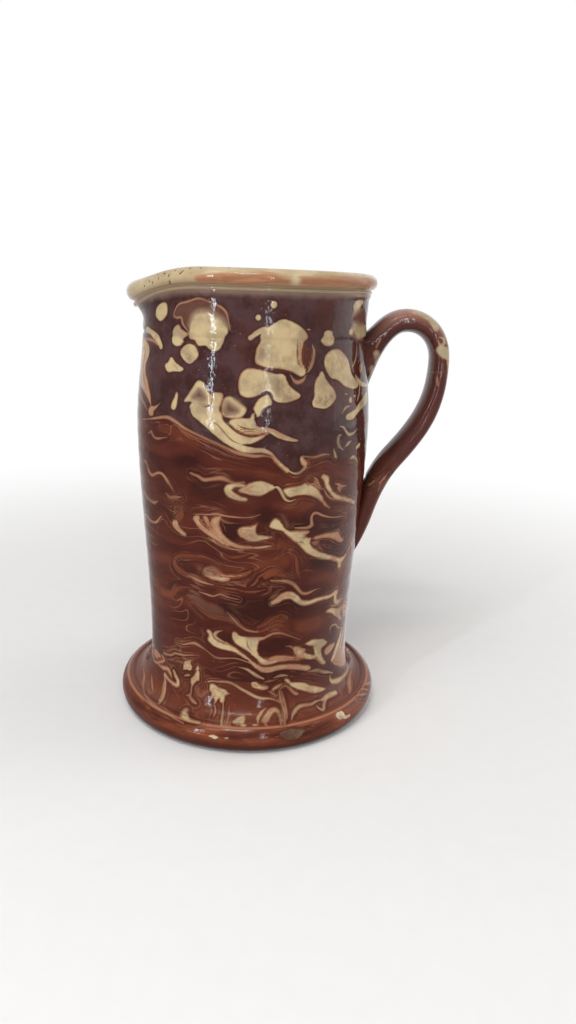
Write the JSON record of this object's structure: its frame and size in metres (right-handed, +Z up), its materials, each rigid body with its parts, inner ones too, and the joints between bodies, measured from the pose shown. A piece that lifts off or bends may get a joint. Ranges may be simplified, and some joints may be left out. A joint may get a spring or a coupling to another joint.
{
  "type": "earthenware jug",
  "caption": "Straight-sided glazed earthenware jug with marbled slip, a rolled rim with pulled pouring lip, a strap handle and a wide turned foot.",
  "frame": {"origin": "centre of the flat underside of the foot, on the surface the jug stands on", "axes": "+Z up along the wheel axis, +X towards the handle, -X towards the pouring lip"},
  "size_m": [0.1853, 0.155, 0.25],
  "materials": {
    "marbled_glaze": "glossy lead-type glaze over red-brown slip marbled with cream, tan and near-black",
    "foot_glaze": "glossy orange-brown glaze with cream streaks, worn and chipped along the edge",
    "rim_glaze": "glossy cream slip under clear glaze, stained orange-brown, chipped along the crest",
    "handle_glaze": "glossy dark red-brown glaze with cream streaks",
    "bare_clay": "unglazed red earthenware, matt"
  },
  "bodies": {
    "root": {"floor_slab": "bare_clay", "foot_flange": "foot_glaze", "body_wall": "marbled_glaze", "rim_roll": "rim_glaze", "handle_root": "handle_glaze", "handle_strap": "handle_glaze", "handle_tail": "handle_glaze"}
  },
  "joints": []
}
